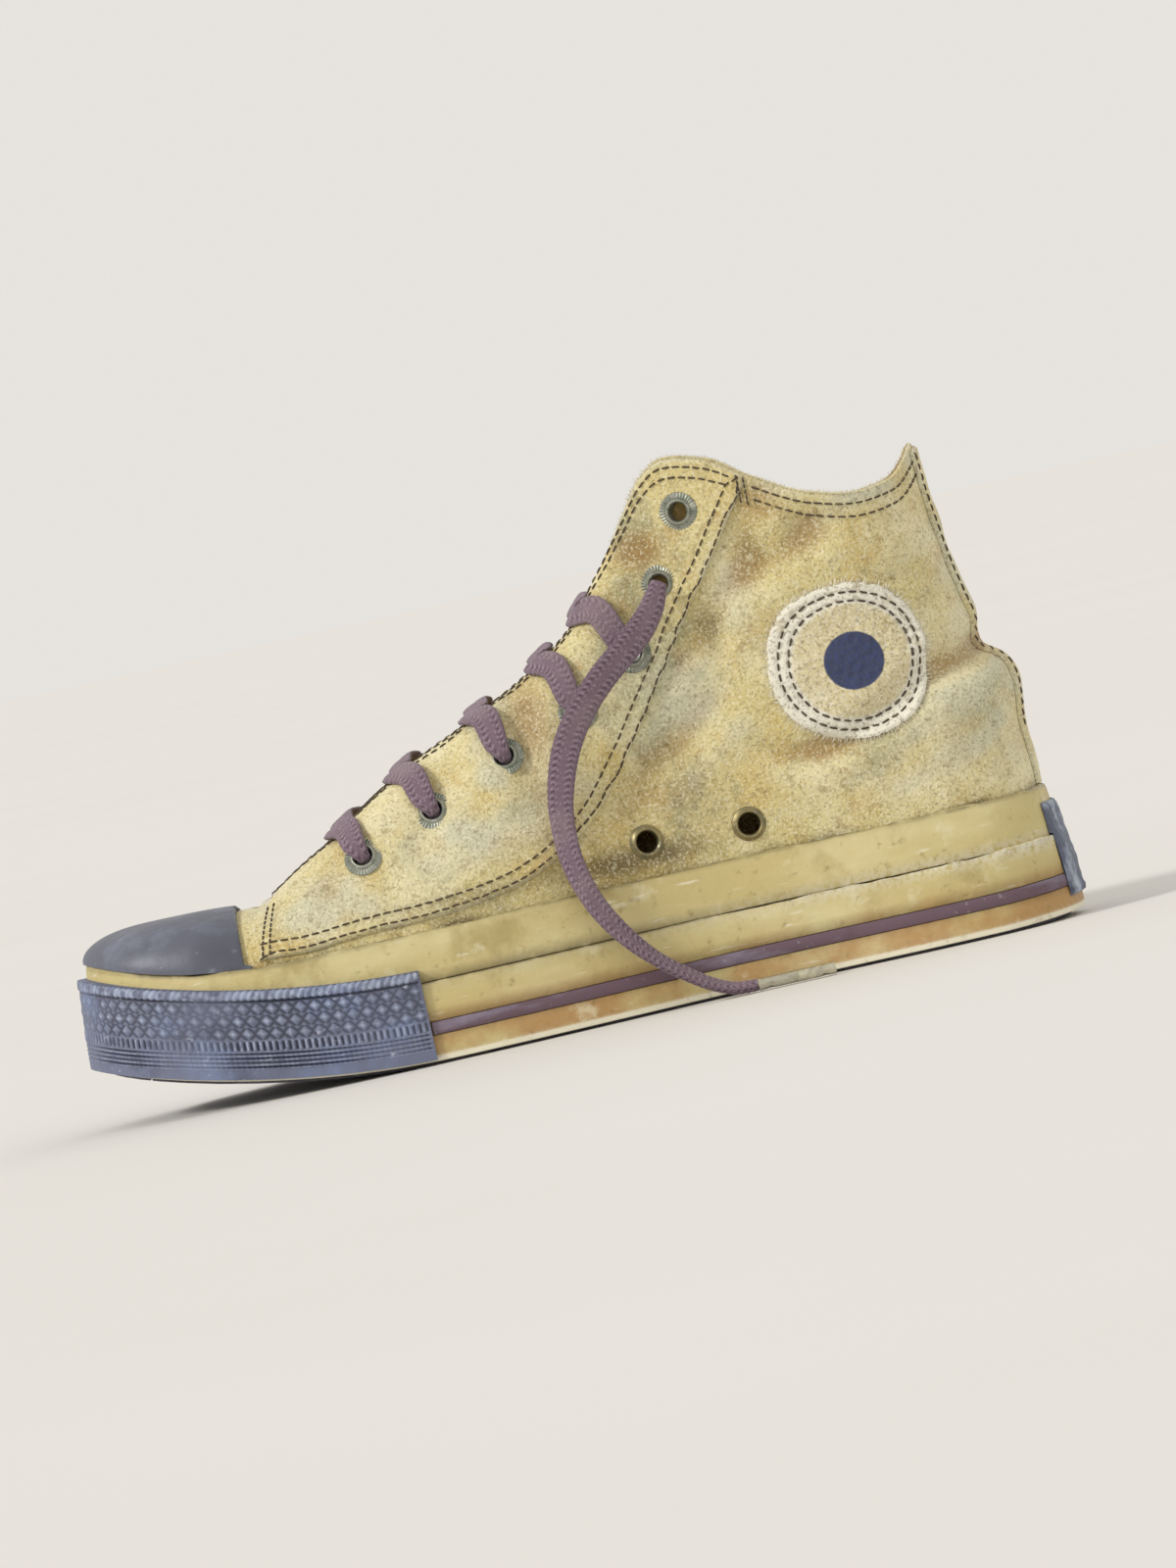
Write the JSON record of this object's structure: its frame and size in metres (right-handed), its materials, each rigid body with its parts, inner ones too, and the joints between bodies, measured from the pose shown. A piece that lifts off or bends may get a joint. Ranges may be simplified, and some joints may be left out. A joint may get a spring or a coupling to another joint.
{
  "type": "high-top sneaker",
  "caption": "Worn right high-top sneaker in ochre suede with a yellowed vulcanised sole, a blue-grey toe bumper, an ankle patch and a loose flat lace",
  "frame": {"origin": "under the centre of the shoe's length and width, on the floor", "axes": "toe towards -X, heel towards +X, medial side towards -Y, lateral side towards +Y, collar up +Z"},
  "size_m": [0.2998, 0.1029, 0.1577],
  "materials": {
    "suede": "worn ochre suede",
    "foxing_rubber": "aged yellow, crumbling at the edges",
    "stripe_rubber": "dull, scuffed",
    "aged_nickel": "tarnished",
    "aged_brass": "tarnished",
    "bumper_rubber": "textured, scuffed pale on the high spots",
    "outsole_rubber": "dull, worn",
    "label_rubber": "worn bare",
    "toe_cap_rubber": "smooth, scuffed",
    "insole_fabric": "flattened by the foot",
    "tongue_suede": "darker than the outside",
    "patch_canvas": "frayed at the edge",
    "lace_cotton": "flat knit",
    "aglet_brass": "crimped metal"
  },
  "bodies": {
    "root": {"upper": "suede", "outsole": "outsole_rubber", "foxing": "foxing_rubber", "foxing_upper": "foxing_rubber", "pinstripe": "stripe_rubber", "toe_bumper": "bumper_rubber", "heel_label": "label_rubber", "toe_cap": "toe_cap_rubber", "insole": "insole_fabric", "tongue": "tongue_suede", "eyestay_medial": "suede", "eyestay_lateral": "suede", "backstay": "suede", "ankle_patch": "patch_canvas", "eyelet_medial_1": "aged_nickel", "eyelet_medial_2": "aged_nickel", "eyelet_medial_3": "aged_nickel", "eyelet_medial_4": "aged_nickel", "eyelet_medial_5": "aged_nickel", "eyelet_medial_6": "aged_nickel", "eyelet_medial_7": "aged_nickel", "eyelet_lateral_1": "aged_nickel", "eyelet_lateral_2": "aged_nickel", "eyelet_lateral_3": "aged_nickel", "eyelet_lateral_4": "aged_nickel", "eyelet_lateral_5": "aged_nickel", "eyelet_lateral_6": "aged_nickel", "eyelet_lateral_7": "aged_nickel", "vent_eyelet_1": "aged_brass", "vent_eyelet_2": "aged_brass", "lace_bar_3": "lace_cotton", "lace_bar_4": "lace_cotton", "lace_bar_5": "lace_cotton", "lace_bar_6": "lace_cotton", "lace_bar_7": "lace_cotton", "lace_end_medial": "lace_cotton", "lace_end_lateral": "lace_cotton", "aglet_medial": "aglet_brass", "aglet_lateral": "aglet_brass"}
  },
  "joints": []
}
